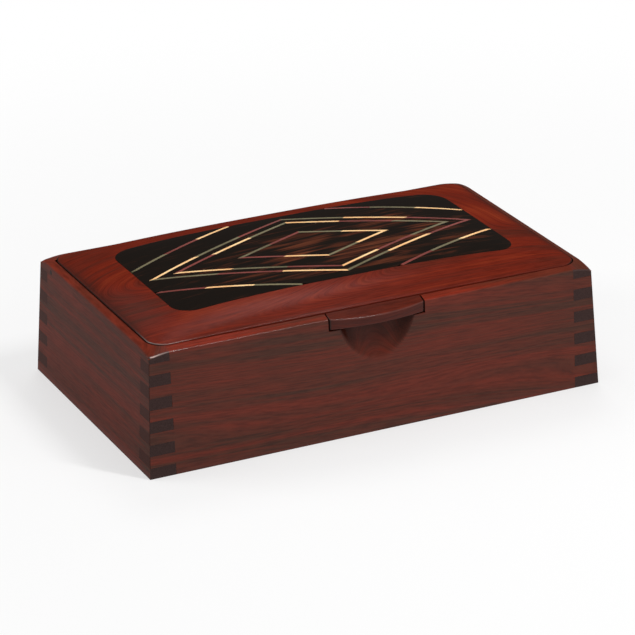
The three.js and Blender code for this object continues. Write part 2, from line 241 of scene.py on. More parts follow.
def noise(place, scale=1, detail=2, roughness=0.5, distortion=0, output="Fac"):
    """Noise in space, from 0 to 1."""
    sockets = {"Vector": place, "Scale": scale, "Detail": detail, "Roughness": roughness,
               "Distortion": distortion}
    return add("TexNoise", sockets).outputs[output]


def mixed(share, first, second, kind="FLOAT"):
    """A blend: the first where share is 0, and the second where it is 1."""
    return add("Mix", {"Factor": share, "A": first, "B": second}, data_type=kind).outputs["Result"]

# %% Rings and bands
ring_taper = 0.02
drift_stretch = (0.09, 1, 1)
drift_scale = 14


def along_the_grain(tree, turn, tilt=0):
    """Coordinates with their first axis along the grain: turned from +x about +z, then tilted up."""
    turned = add("Mapping", {"Vector": here(tree), "Rotation": (0, 0, -turn)}).outputs[0]
    return add("Mapping", {"Vector": turned, "Rotation": (0, tilt, 0)}).outputs[0]


def growth_rings(grain, pith, wander):
    """Distance from a wandering pith line, in metres."""
    drift = noise(vector("MULTIPLY", grain, drift_stretch), drift_scale, output="Color")
    centred = vector("SUBTRACT", drift, (0.5, 0.5, 0.5))
    moved = vector("ADD", grain, vector("SCALE", centred, scale=wander))
    from_pith = vector("SUBTRACT", moved, (0, *pith))
    return vector("LENGTH", vector("MULTIPLY", from_pith, (ring_taper, 1, 1)))


def growth_bands(rings, band, seed):
    """Bands of uneven width, from 0 to 1."""
    sockets = {"W": number("ADD", rings, seed), "Scale": 1 / band, "Detail": 3.5, "Roughness": 0.6}
    return add("TexNoise", sockets, noise_dimensions="1D").outputs["Fac"]


def round_a_knot(grain, rings, place, spread, curl=(0.55, 1, 0.1), blend=0.02):
    """Lets the rings curl round a branch that comes up through the board at a place."""
    from_knot = vector("MULTIPLY", vector("SUBTRACT", grain, (*place, 0)), curl)
    beyond = number("ADD", vector("LENGTH", from_knot), spread)
    return number("SMOOTH_MIN", rings, beyond, blend)

# %% [markdown]
# ### Pores, patches and end grain
# Fine noise, drawn out along the grain, gives the pores, and slow noise the lighter and darker patches. Some
# listed places are lifted or lowered: some for their own tone, and some as painted light and shade. End grain
# drinks the lacquer and is nearly as dark as coffee. A second material could show it, but the angle between
# surface and grain finds it by itself.

# %% Fine figure of a board
def pores(grain, across, length):
    """Short dark vessels along the grain, from 0 to 1."""
    return noise(vector("MULTIPLY", grain, (1 / length, 1 / across, 1 / across)), roughness=0.65)


def mottling(grain, size):
    """Slow patches, three times as long as they are wide, from 0 to 1."""
    return noise(vector("MULTIPLY", grain, (0.3 / size, 1 / size, 1 / size)), detail=1.5)

# %% Places of their own tone and of painted light and shade
def distance_in_plan(place, centre, spread):
    """Distance from a centre in plan, in parts of its spread."""
    moved = vector("SUBTRACT", place, (*centre, 0))
    return vector("LENGTH", vector("MULTIPLY", moved, (1 / spread[0], 1 / spread[1], 0)))


def with_spots(value, spots):
    """Lifts a value at places that have a centre, a spread and a lift."""
    for centre, spread, lift in spots:
        spot = between(distance_in_plan(here(value.id_data), centre, spread), lift, 0, soft=True)
        value = number("ADD", value, spot)
    return value

# %% Which way a surface faces
def facing(tree):
    """The direction that the surface faces."""
    return add("TexCoord", tree=tree).outputs["Normal"]


def facing_the_grain(tree, turn):
    """1 where the surface is cut across the grain, and 0 along it."""
    lined_up = vector("DOT_PRODUCT", facing(tree), (cos(turn), sin(turn), 0))
    return between(number("ABSOLUTE", lined_up), start=0.15, end=0.5, soft=True)


def facing_up(tree):
    """0 on the walls' faces and 1 on tops."""
    return between(axis_of(facing(tree), "Z"), start=0.3, end=0.95)

# %% [markdown]
# ## Finish
# The box is lacquered and rubbed down to a satin sheen. The wood's own gloss could be lowered, but it would
# still mirror much at a glancing view. So the wood has none, and the weight of a thin clear coat sets how
# much of the room it mirrors. An attribute marks the rim's front left corner and the edges of the pull and
# the lid: there the coat is thicker, and a painted highlight lightens the colour. A hollow attribute marks
# the thumb scoop, whose colour is darkened by painted shade and drawn partly towards end grain's tone.
# The walls' tops are tinted redder and lighter as painted light.

# %% Clear coat
hollow_coat = 0.85
end_grain_coat = 0.4


def marked(tree, attribute):
    """How strongly a point of the piece is marked, from 0 to 1."""
    return add("Attribute", tree=tree, attribute_name=attribute).outputs["Fac"]


def lacquer(surface, side_shine, top_shine, matt=None, spots=(), haze=0.22):
    """A clear coat: thinner on tops, on end grain and in the hollow, and thicker on the edges marked for a
    highlight.
    """
    tree = surface.id_data
    coat = with_spots(between(facing_up(tree), side_shine, top_shine), spots)
    kept = between(marked(tree, "hollow"), 1, hollow_coat)
    if matt:
        kept = number("MULTIPLY", kept, between(matt, 1, end_grain_coat))
    coat = number("ADD", marked(tree, "polish_and_highlight"), number("MULTIPLY", coat, kept), use_clamp=True)
    tree.links.new(coat, surface.inputs["Coat Weight"])
    surface.inputs["Coat Roughness"].default_value = haze
    surface.inputs["Specular IOR Level"].default_value = 0


def paint(surface, colour, sheen, height, strength, depth, constants=None):
    """Joins colour, roughness and relief to a surface, and sets what is the same all over it."""
    relief = add("Bump", {"Height": height, "Strength": strength, "Distance": depth}).outputs[0]
    for socket, output in [("Base Color", colour), ("Roughness", sheen), ("Normal", relief)]:
        surface.id_data.links.new(output, surface.inputs[socket])
    for socket, value in (constants or {}).items():
        surface.inputs[socket].default_value = value

# %% Colour of a board
# The colour of the painted highlight on the marked edges, and the largest share of it.
painted_highlight_tone = (1, 0.7, 0.62)
painted_highlight_most = 0.85
vessel_size = (0.0006, 0.016)
speckle_size = (0.0007, 0.0007)
patch_size = 0.03
# In the hollow: a share of end grain's tone, and painted shade that darkens the colour.
hollow_end_tone_and_shade, painted_hollow_shade = 0.35, 0.9


def coloured(tone, vessels, cut, end_tone, painted_top_light):
    """A board's tone: darker in vessels and on end grain, with painted light on tops, painted shade in the
    hollow and painted highlights on marked edges.
    """
    tree = tone.id_data
    streaked = vector("SCALE", tone, scale=between(vessels, 0.7, 1.1, 0.35, 0.6))
    # Painted light: tops get their own tint, which makes the walls' tops redder and lighter.
    tinted = vector("MULTIPLY", streaked, mixed(facing_up(tree), (1, 1, 1), painted_top_light, "VECTOR"))
    speckle = between(pores(here(tree), *speckle_size), 0.75, 1.25, 0.3, 0.7)
    whole = mixed(cut, tinted, vector("SCALE", end_tone, scale=speckle), "VECTOR")
    # Painted shade darkens the hollow.
    shaded = vector("SCALE", whole, scale=between(marked(tree, "hollow"), 1, painted_hollow_shade))
    # Painted highlight: the marked edges are lightened towards a pale pink.
    painted_highlight_share = number("MULTIPLY", number("POWER", marked(tree, "polish_and_highlight"), 2), painted_highlight_most)
    return mixed(painted_highlight_share, shaded, painted_highlight_tone, "VECTOR")

# %% Lacquered wood
def lacquered_wood(name, tones, places, band, turn=0, tilt=0, pith=(0.03, -0.12), wander=0.012, seed=0.0,
                   end_tone=(0.05, 0.016, 0.012), fine=0.2, streak=0.35, streak_size=(0.003, 0.05), patch=0.1,
                   knot=None, spots=(), side_shine=0.5, top_shine=0.03, shine_spots=(), painted_top_light=(1, 1, 1),
                   haze=0.22):
    """A lacquered board. Tones run from dark to light, and band is a growth band's usual width."""
    material, tree, surface = fresh_material(name)
    grain = along_the_grain(tree, turn, tilt)
    rings = growth_rings(grain, pith, wander)
    if knot:
        rings = round_a_knot(grain, rings, *knot)
    bent = add("CombineXYZ", {"X": axis_of(grain, "X"), "Y": rings}).outputs[0]
    narrow = growth_bands(rings, band / 7, seed + 0.5)
    banded = mixed(fine, growth_bands(rings, band, seed), narrow)
    figure = mixed(streak, banded, pores(bent, *streak_size))
    clouds = between(mottling(grain, patch_size), -patch, patch)
    figure = with_spots(number("ADD", figure, clouds), spots)
    vessels = pores(bent, *vessel_size)
    # In the hollow the colour is drawn towards end grain's tone, partly for its cut pores and partly as
    # painted shade.
    in_hollow = number("MULTIPLY", marked(tree, "hollow"), hollow_end_tone_and_shade)
    cut = number("MAXIMUM", facing_the_grain(tree, turn), in_hollow)
    colour = coloured(ramp(figure, tones, places), vessels, cut, end_tone, painted_top_light)
    lacquer(surface, side_shine, top_shine, cut, shine_spots, haze)
    paint(surface, colour, between(vessels, 0.62, 0.48), vessels, 0.12, 0.0002)
    print(name, "has", len(tree.nodes), "nodes")
    return material

# %% [markdown]
# ### Woods of the box
# The walls, the lid and the pull are dark red-brown timbers. The long walls show straight grain that rises by
# a degree, the lid's rings curl round a knot under the panel's left end, and the pull is darker. All could be
# one material, but real boards differ in tone, gloss and figure, so each is cut with values of its own.

# %% Cut the walls' woods
wall_tones = [(0.085, 0.026, 0.0145), (0.133, 0.025, 0.0125), (0.178, 0.0255, 0.012)]
# The walls' tops are painted redder and lighter, as light from above shows them.
wall_look = dict(fine=0.3, painted_top_light=(1.2, 0.95, 0.95), haze=0.16)
# Painted light on the front rim: lighter at its left end and darker at its right. A third spot darkens the
# front wall towards its foot.
long_wall_spots = [((-0.1, -0.081), (0.07, 0.008), 0.16), ((0.1, -0.081), (0.06, 0.008), -0.08),
                   ((0.04, -0.0935), (0.13, 0.0045), -0.035)]
# Painted shade on the right wall's rim. Two more spots darken the left wall near its front corner and along
# the left rim.
end_wall_spots = [((0.143, 0), (0.007, 0.4), -0.3), ((-0.158, -0.09), (0.014, 0.025), -0.2),
                  ((-0.144, 0.02), (0.005, 0.08), -0.06)]
long_wall_wood = lacquered_wood(
    "long_wall_wood", wall_tones, (0.41, 0.5, 0.59), band=0.014, tilt=radians(-1.2), pith=(0.1, -0.09),
    wander=0.05, seed=1.3, end_tone=(0.064, 0.016, 0.01), streak=0.3, streak_size=(0.0015, 0.11),
    patch=0.12, spots=long_wall_spots, side_shine=0.4, **wall_look)
end_wall_wood = lacquered_wood(
    "end_wall_wood", wall_tones, (0.4, 0.5, 0.6), band=0.016, turn=pi / 2, pith=(0.06, -0.1),
    wander=0.02, seed=3, end_tone=(0.062, 0.036, 0.033), streak=0.25, streak_size=(0.002, 0.09),
    spots=end_wall_spots, side_shine=0.18, **wall_look)

# %% Cut the lid's and the pull's woods
lid_tones = [(0.088, 0.018, 0.0105), (0.128, 0.0175, 0.0095), (0.16, 0.018, 0.0085), (0.22, 0.03, 0.0115)]
lid_spots = [((-0.132, -0.033), (0.03, 0.045), -0.2), ((-0.06, -0.064), (0.09, 0.024), 0.14),
             ((-0.127, 0.014), (0.026, 0.026), 0.11), ((-0.125, 0.06), (0.03, 0.03), -0.08),
             ((0.125, 0.02), (0.03, 0.035), 0.1), ((0.13, -0.055), (0.03, 0.03), -0.06)]
lid_shine = [((-0.05, -0.07), (0.13, 0.045), 0.11), ((-0.135, -0.035), (0.03, 0.06), 0.09)]
pull_tones = [(0.08, 0.014, 0.008), (0.108, 0.016, 0.008), (0.14, 0.019, 0.009)]
pull_places = (0.36, 0.5, 0.66)
lid_wood = lacquered_wood(
    "lid_wood", lid_tones, (0.34, 0.45, 0.54, 0.68), band=0.014, pith=(-0.2, 0), wander=0.014, seed=1.2,
    fine=0.3, streak=0.25, streak_size=(0.0022, 0.06), patch=0.2, knot=((-0.1, 0), 0.078), spots=lid_spots,
    side_shine=0.14, top_shine=0.005, shine_spots=lid_shine)
pull_wood = lacquered_wood(
    "pull_wood", pull_tones, pull_places, band=0.008, seed=4, side_shine=0.35, haze=0.16)

# %% [markdown]
# ### The dark panel
# The panel is an ebony-like timber: nearly black sapwood round a heart with brown and rust-coloured
# streaks that run along it. The heart is a long oval in the middle, and there drawn-out noise breaks through
# the black in clouds.

# %% Streaked panel wood
heart_place = (0.016, -0.014)
heart_half = (0.122, 0.056)
panel_tones = [(0.0085, 0.0058, 0.0042), (0.014, 0.0075, 0.005), (0.06, 0.0165, 0.0085), (0.13, 0.038, 0.017)]
panel_shine = 0.03
panel_wood, tree, surface = fresh_material("streaked_panel_wood")
grain = along_the_grain(tree, radians(4))
away = distance_in_plan(grain, heart_place, heart_half)
in_heart = between(away, start=1.1, end=0.3, soft=True)
broken = between(mottling(grain, 0.013), start=0.35, end=0.6)
lifted = between(number("MULTIPLY", in_heart, broken), -0.22, 0.08)
drawn = vector("MULTIPLY", grain, (22, 330, 330))
streaks = noise(drawn, detail=4, roughness=0.6, distortion=0.8)
colour = ramp(number("ADD", streaks, lifted), panel_tones, (0.34, 0.42, 0.54, 0.72))
lacquer(surface, panel_shine, panel_shine)
paint(surface, colour, between(streaks, 0.55, 0.42), streaks, 0.08, 0.0002)
print("heart of the panel:", [round(2 * half / mm) for half in heart_half], "mm")

# %% [markdown]
# ## Walls
# The walls' solids have their fingers, groove, scoop and hinge cove. What they lack is a sanding block's
# touch on the rim, the corners and the foot. A bevel on all sharp edges would open the finger joints. So
# lines are scored beside the outer edges, and their points are moved onto a round edge. Where two boards
# meet, both get the same lines and the same shift. Only the opening's lip is bevelled.

# %% Read a solid
def shape_of(piece):
    """A piece's mesh as a bmesh, to be worked on."""
    shape = bmesh.new()
    shape.from_mesh(piece.data)
    return shape


def solid_copy(node):
    """A node's shape, welded, with its coplanar triangles merged."""
    shape = shape_of(nodes[node])
    bmesh.ops.remove_doubles(shape, verts=shape.verts, dist=1e-6)
    bmesh.ops.dissolve_limit(shape, angle_limit=radians(0.2), verts=shape.verts, edges=shape.edges)
    shape.normal_update()
    return shape

# %% Tell a wall's faces apart
side_lift, roof_lift, foot_lift = (0.03, 0.1), (0.93, 0.98), -0.99


def wall_face(face):
    """What a face of a wall is: side, roof, foot or something inside."""
    lift = face.normal.z
    if side_lift[0] < lift < side_lift[1]:
        return "side"
    if roof_lift[0] < lift < roof_lift[1]:
        return "roof"
    return "foot" if lift < foot_lift and face.calc_center_median().z < mm else "inside"

# %% Where the outer faces stand
foot_half = (152.5 * mm, 92 * mm)
lean = (4.2 / 78.9, 5.05 / 78.9)
outward = [(-1, 0), (1, 0), (0, -1), (0, 1)]
touching = 0.01 * mm


def inset_from(side, place):
    """How far a point lies inside one of the leaning outer faces, measured level."""
    axis = 0 if side[0] else 1
    return foot_half[axis] - lean[axis] * place.z - side[axis] * place[axis]

# %% Score lines into a wall
def score(shape, kinds, place, normal):
    """Draws a line where a plane crosses some faces of a wall."""
    shape.normal_update()
    faces = [face for face in shape.faces if wall_face(face) in kinds]
    parts = {part for face in faces for part in (face, *face.edges, *face.verts)}
    bmesh.ops.bisect_plane(shape, geom=list(parts), dist=1e-7, plane_co=place, plane_no=normal)


def score_beside(shape, kinds, side, inset):
    """Draws a line across some faces of a wall, parallel to one outer face."""
    axis = 0 if side[0] else 1
    score(shape, kinds, Vector((*side, 0)) * (foot_half[axis] - inset), Vector((*side, lean[axis])))

# %% How the rim is rounded, with a thicker coat and a painted highlight
rim_width, rim_drop, rim_corner, rim_steps = 1.1 * mm, 0.6 * mm, 3 * mm, 7
joint_line, near_joint = 135.5 * mm, 0.04 * mm
corner_width = 0.5 * mm
corner_shift = 0.366 * corner_width
# How much thicker coat and painted highlight the rim, its right edge, the corners and the foot's edges get.
usual_polish_and_highlight, right_polish_and_highlight, corner_polish_and_highlight = 0.06, 0.01, 0.08
polish_and_highlight_reach = 30 * mm


def distance_in(insets):
    """Distance in from the rim's outline, whose corners are rounded."""
    first, second = sorted(max(inset, 0) for inset in insets)[:2]
    if second > rim_corner:
        return first
    return max(rim_corner - hypot(rim_corner - first, rim_corner - second), 0)


def rim_polish_and_highlight(insets):
    """A thicker coat and a painted highlight on the rim: most at its front left corner, and least on its
    right edge.
    """
    if insets[1] == min(insets):
        return right_polish_and_highlight
    if insets[2] > min(insets):
        return usual_polish_and_highlight
    near_corner = max(1 - insets[0] / polish_and_highlight_reach, 0)
    return usual_polish_and_highlight + (1 - usual_polish_and_highlight) * near_corner ** 2

# %% Round the rim, the corners and the foot
lines_along = (1.6, 2.2, 3, 4, 4.6)
lines_across = (100, 112, 122, 130, 140, 145)


def score_outside(shape):
    """Scores lines along the outer edges, and a few across the rim near its corners."""
    for side in outward:
        for step in range(1, rim_steps + 1):
            score_beside(shape, {"roof"}, side, rim_width * (1 - cos(step / rim_steps * pi / 2)))
        for inset in lines_along:
            score_beside(shape, {"roof"}, side, inset * mm)
        score_beside(shape, {"side", "foot"}, side, corner_width)
    for side in (-1, 1):
        for x in lines_across:
            score(shape, {"roof"}, (side * x * mm, 0, 0), (1, 0, 0))
    shape.normal_update()


def ease_outside(shape):
    """Scores lines beside the outer edges, and then moves their points onto round edges."""
    polish_and_highlight = shape.verts.layers.float.new("polish_and_highlight")
    score_outside(shape)
    roof = {vertex for face in shape.faces if wall_face(face) == "roof" for vertex in face.verts}
    for vertex in shape.verts:
        insets = [inset_from(side, vertex.co) for side in outward]
        met = [side for side, inset in zip(outward, insets) if inset < touching]
        shift = Vector()
        if len(met) == 2 or (met and vertex.co.z < touching):
            shift -= sum((Vector((*side, 0)) for side in met), Vector()) * corner_shift
            vertex[polish_and_highlight] = corner_polish_and_highlight
        if met and vertex.co.z < touching:
            shift.z += corner_shift
        if vertex in roof:
            share = 1 - min(distance_in(insets) / rim_width, 1)
            drop = rim_drop * (1 - sqrt(1 - share ** 2))
            shift.z -= drop
            for side in met:
                shift += Vector((*side, 0)) * drop * (lean[0] if side[0] else lean[1])
            # The middle of the round edge gets a thicker coat and a painted highlight.
            vertex[polish_and_highlight] = rim_polish_and_highlight(insets) * 2 * share * sqrt(1 - share ** 2)
            if abs(abs(vertex.co.x) - joint_line) < near_joint:
                vertex.co.x = joint_line if vertex.co.x > 0 else -joint_line
        vertex.co += shift

# %% Mark the opening's lip for a bevel
# The lip's bevel gets a little thicker coat and painted highlight.
lip_ease, lip_polish_and_highlight = 0.35 * mm, 0.05
rim_height, joint_reach, lip_angle = 78.9 * mm, 0.1 * mm, radians(15)


def weigh_lip(shape):
    """Marks the edges of the opening's lip, but not those at a joint."""
    shape.normal_update()
    weight = shape.edges.layers.float.new("bevel_weight_edge")
    for edge in shape.edges:
        kinds = sorted(wall_face(face) for face in edge.link_faces)
        sharp = edge.calc_face_angle(0) >= lip_angle
        on_rim = min(vertex.co.z for vertex in edge.verts) > rim_height - touching
        on_joint = all(abs(abs(vertex.co.x) - joint_line) < joint_reach for vertex in edge.verts)
        edge[weight] = kinds == ["inside", "roof"] and sharp and on_rim and not on_joint
    return sum(edge[weight] > 0 for edge in shape.edges)

# %% Turn the shape into a piece
def to_object(shape, name, material=None):
    """A bmesh as a new object with one material."""
    mesh = bpy.data.meshes.new(name)
    shape.to_mesh(mesh)
    shape.free()
    mesh.materials.append(material)
    return hang(name, mesh)


def modify(piece, kind, **settings):
    """Changes a piece's mesh by a modifier."""
    modifier = piece.modifiers.new(kind, kind)
    for setting, value in settings.items():
        setattr(modifier, setting, value)
    bpy.context.view_layer.update()
    finished = piece.evaluated_get(bpy.context.evaluated_depsgraph_get())
    mesh = bpy.data.meshes.new_from_object(finished)
    piece.modifiers.clear()
    piece.data = mesh


def shade(piece, sharp=32):
    """Smooth shading, with sharp corners marked and large faces kept flat."""
    shape = shape_of(piece)
    shape.normal_update()
    for edge in shape.edges:
        edge.smooth = edge.calc_face_angle(0) < radians(sharp)
    for face in shape.faces:
        face.smooth = True
    shape.to_mesh(piece.data)
    shape.free()
    modify(piece, "WEIGHTED_NORMAL", keep_sharp=True)

# %% Round and wear the weighted edges
def ease_edges(piece, width, edge_polish_and_highlight):
    """Rounds the weighted edges, and gives their new faces a thicker coat and a painted highlight."""
    piece.data.materials.append(piece.data.materials[0])
    modify(piece, "BEVEL", limit_method="WEIGHT", width=width, segments=4, material=1,
           use_clamp_overlap=False)
    mesh = piece.data
    plain = {vertex for face in mesh.polygons if face.material_index == 0 for vertex in face.vertices}
    polish_and_highlight = mesh.attributes.get("polish_and_highlight") or mesh.attributes.new("polish_and_highlight", "FLOAT", "POINT")
    for vertex in mesh.vertices:
        if vertex.index not in plain:
            polish_and_highlight.data[vertex.index].value = edge_polish_and_highlight
    for face in mesh.polygons:
        face.material_index = 0
    mesh.materials.pop()

# %% Cut a piece
def carve(piece, tool, operation="DIFFERENCE"):
    """Cuts a piece with a tool, and throws the tool away."""
    modify(piece, "BOOLEAN", operation=operation, solver="EXACT", object=tool)
    bpy.data.objects.remove(tool)


def block_tool(low, high):
    """A block between two corners, for cutting."""
    shape = bmesh.new()
    middle = [(a + b) / 2 for a, b in zip(low, high)]
    size = [b - a for a, b in zip(low, high)]
    bmesh.ops.create_cube(shape, size=1, matrix=Matrix.Translation(middle) @ Matrix.Diagonal((*size, 1)))
    return to_object(shape, "block_tool")


def drill_tool(radius, start, end):
    """A rod from start to end along x, for drilling."""
    shape = bmesh.new()
    place = Matrix.Translation((Vector(start) + Vector(end)) / 2) @ Matrix.Rotation(pi / 2, 4, "Y")
    length = (Vector(end) - Vector(start)).length
    bmesh.ops.create_cone(shape, cap_ends=True, segments=32, radius1=radius, radius2=radius, depth=length,
                          matrix=place)
    return to_object(shape, "drill_tool")

# %% [markdown]
# ### Thumb scoop
# The hollow under the pull is carved with a gouge and sanded, so it rolls over into the wall's face without
# an edge. A bevel along its curved edge would pinch. Instead a block is cut out of the wall, and one with a
# fine grid on its front is joined in. Its points are pushed back to the same egg shape as the solid's, with a
# smooth maximum that makes the roll.

# %% Shape of the scoop
scoop_middle = Vector((0, -96.8 * mm, 80.4 * mm))
scoop_radii = (30 * mm, 20.8 * mm, 43.7 * mm)
scoop_tilt = radians(11.3)
scoop_roll = 1.5 * mm
ledge_height = 69.4 * mm
recut_half, recut_foot, recut_back, recut_front = 34 * mm, 39 * mm, -76 * mm, -100 * mm


def front_face(height):
    """Where the wall's leaning face stands at a height."""
    return -foot_half[1] + lean[1] * height


def scoop_depth(x, height):
    """How far the hollow goes in behind the wall's face."""
    across, deep, tall = scoop_radii
    lift = height - scoop_middle.z
    turned, straight = sin(scoop_tilt), cos(scoop_tilt)
    square = (straight / deep) ** 2 + (turned / tall) ** 2
    slant = 2 * lift * turned * straight * (1 / tall ** 2 - 1 / deep ** 2)
    rest = lift ** 2 * ((turned / deep) ** 2 + (straight / tall) ** 2) + (x / across) ** 2 - 1
    inside = slant ** 2 - 4 * square * rest
    if inside <= 0:
        return 0
    depth = scoop_middle.y + (sqrt(inside) - slant) / (2 * square) - front_face(height)
    blend = max(scoop_roll - abs(depth), 0) / scoop_roll
    return max(depth, 0) + blend ** 2 * scoop_roll / 4

# %% Make the hollowed block
def scooped_block(step=0.8 * mm):
    """A block whose front has the hollow."""
    shape = bmesh.new()
    columns = round(2 * recut_half / step)
    rows = round((ledge_height - recut_foot) / step)
    grid = []
    for row in range(rows + 1):
        height = recut_foot + (ledge_height - recut_foot) * row / rows
        points = []
        for column in range(columns + 1):
            x = -recut_half + 2 * recut_half * column / columns
            depth = 0 if row == 0 or column in (0, columns) else scoop_depth(x, height)
            points.append(shape.verts.new((x, front_face(height) + depth, height)))
        grid.append(points)
    for low, high in zip(grid, grid[1:]):
        for column in range(columns):
            shape.faces.new((low[column], low[column + 1], high[column + 1], high[column]))
    back = [(side * recut_half, recut_back, z) for z in (recut_foot, ledge_height) for side in (-1, 1)]
    low_left, low_right, high_left, high_right = [shape.verts.new(point) for point in back]
    shape.faces.new((low_left, high_left, high_right, low_right))
    shape.faces.new((*grid[0], low_right, low_left))
    shape.faces.new((*reversed(grid[-1]), high_left, high_right))
    shape.faces.new([row[0] for row in grid] + [high_left, low_left])
    shape.faces.new([row[-1] for row in reversed(grid)] + [low_right, high_right])
    bmesh.ops.recalc_face_normals(shape, faces=shape.faces)
    return shape

# %% Recut the scoop
def recut_scoop(wall):
    """Replaces the coarse hollow in the front wall by a smooth one."""
    carve(wall, block_tool((-recut_half, recut_front, recut_foot), (recut_half, recut_back, ledge_height)))
    carve(wall, to_object(scooped_block(), "scooped_block"), "UNION")
    deepest = max(scoop_depth(0, ledge_height * share / 100) for share in range(50, 101))
    print("scoop goes in by", round(deepest / mm, 1), "mm")


def mark_hollow(shape):
    """Marks the hollow: 0 on the wall's face and 1 behind its roll."""
    hollow = shape.verts.layers.float.new("hollow")
    for vertex in shape.verts:
        x, y, z = vertex.co
        if abs(x) < recut_half and recut_foot < z < ledge_height + touching and y < recut_back - mm:
            vertex[hollow] = min(max((y - front_face(z)) / scoop_roll, 0), 1)

# %% Make the walls
def finish_piece(piece, body, slot, *stands_for):
    """Shades a piece, hangs it on its body and hides the solids that it stands for."""
    shade(piece)
    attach(piece, body)
    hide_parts(*stands_for)


walls = ["front_wall", "back_wall", "left_wall", "right_wall"]
for node, wood in zip(walls, [long_wall_wood] * 2 + [end_wall_wood] * 2):
    piece = to_object(solid_copy(node), "eased_" + node, wood)
    if node == "front_wall":
        recut_scoop(piece)
    shape = shape_of(piece)
    ease_outside(shape)
    mark_hollow(shape)
    lip_edges = weigh_lip(shape)
    shape.to_mesh(piece.data)
    shape.free()
    ease_edges(piece, lip_ease, lip_polish_and_highlight)
    finish_piece(piece, "box", "wall_wood", node)
    print(node, "lip edges:", lip_edges, "faces:", len(piece.data.polygons))

# %% [markdown]
# ## Lid
# The lid is a board whose top swells like a pillow, with rounded corners. A grid would do for the crown,
# as in its solid, but its facets show. Here the top is a loft: rings run from the lid's edge to the panel's
# outline, so that the rows of faces follow both and the shine runs round the corners without a ripple.

# %% Crown and outlines
lid_half = (142.8 * mm, 80.75 * mm)
lid_corner, lid_underside, lid_edge_top = 10.8 * mm, 69.7 * mm, 79.1 * mm
crown_rise = 10.9 * mm
panel_half = (115.1 * mm, 55.2 * mm)
panel_corner, panel_seat = 14 * mm, 80 * mm
glue_line = 0.05 * mm
swell_along, swell_across = (2.8, 0.7), (5, 0.8)


def crown_height(x, y):
    """Height of the lid's top over a point of its plan."""
    height = crown_rise
    for place, half, (fullness, shoulder) in [(x, lid_half[0], swell_along), (y, lid_half[1], swell_across)]:
        height *= max(0, 1 - abs(place / half) ** fullness) ** shoulder
    return lid_edge_top + height


def toward(start, end, share):
    """A point of the plan on the way from start to end."""
    return start[0] + (end[0] - start[0]) * share, start[1] + (end[1] - start[1]) * share


def rounded_outline(half, corner, inset=0, arc_steps=10, long_steps=56, short_steps=28):
    """Points round a rectangle with rounded corners, counter-clockwise from its right side."""
    x, y, r = half[0] - inset, half[1] - inset, max(corner - inset, 0.05 * mm)
    points = []
    centres = [(x - r, y - r), (r - x, y - r), (r - x, r - y), (x - r, r - y)]
    for side, (centre_x, centre_y) in enumerate(centres):
        for step in range(arc_steps + 1):
            turn = (side + step / arc_steps) * pi / 2
            points.append((centre_x + r * cos(turn), centre_y + r * sin(turn)))
        next_x, next_y = centres[(side + 1) % 4]
        turn = (side + 1) * pi / 2
        start, end = points[-1], (next_x + r * cos(turn), next_y + r * sin(turn))
        steps = long_steps if side % 2 == 0 else short_steps
        points += [toward(start, end, step / steps) for step in range(1, steps)]
    return points

# %% Loft rings into a closed skin
# The lid's round edge: a thicker coat and a painted highlight, most near its front left corner.
lid_polish_and_highlight, lid_corner_polish_and_highlight, lid_corner_reach = 0.04, 0.5, 32 * mm


def loft(rings, capped=True, polish_and_highlight_rows=()):
    """Faces between neighbouring rings and over each end. Given rows get a thicker coat and a painted
    highlight.
    """
    shape = bmesh.new()
    polish_and_highlight = shape.verts.layers.float.new("polish_and_highlight")
    rows = [[shape.verts.new(point) for point in ring] for ring in rings]
    for row, above in zip(rows, rows[1:]):
        for index in range(len(row)):
            after = (index + 1) % len(row)
            shape.faces.new((row[index], row[after], above[after], above[index]))
    for index in polish_and_highlight_rows:
        for vertex in rows[index]:
            to_corner = hypot(vertex.co.x + lid_half[0], vertex.co.y + lid_half[1])
            vertex[polish_and_highlight] = lid_polish_and_highlight + lid_corner_polish_and_highlight * max(1 - to_corner / lid_corner_reach, 0)
    if capped:
        shape.faces.new(list(reversed(rows[0])))
        shape.faces.new(rows[-1])
    bmesh.ops.recalc_face_normals(shape, faces=shape.faces)
    return shape

# %% Rings of the lid's board
edge_steps, crown_steps, crowding = 5, 18, 1.5
lid_ease, recess_ease = 0.8 * mm, 0.15 * mm


def round_edge(ease):
    """How far each ring of a round edge lies in and down, from its side to its top."""
    turns = [step / edge_steps * pi / 2 for step in range(edge_steps + 1)]
    return [(ease * (1 - cos(turn)), ease * (1 - sin(turn))) for turn in turns]


def lid_outline(inset):
    """The lid's outline, drawn in."""
    return rounded_outline(lid_half, lid_corner, inset)


rings = []
for inset, height in [(0.4, 0), (0.1, 0.1), (0, 0.4)]:
    rings.append([(x, y, lid_underside + height * mm) for x, y in lid_outline(inset * mm)])
outer = lid_outline(lid_ease)
shoulder = [crown_height(x, y) for x, y in outer]
for inset, drop in round_edge(lid_ease):
    rings.append([(x, y, top - drop) for (x, y), top in zip(lid_outline(inset), shoulder)])
inner = rounded_outline(panel_half, panel_corner, -recess_ease)
for step in range(1, crown_steps + 1):
    share = (step / crown_steps) ** crowding
    ring = [toward(start, end, share) for start, end in zip(outer, inner)]
    rings.append([(x, y, crown_height(x, y)) for x, y in ring])
recess = rounded_outline(panel_half, panel_corner)
rings.append([(x, y, crown_height(x, y) - recess_ease) for x, y in recess])
rings.append([(x, y, panel_seat) for x, y in recess])

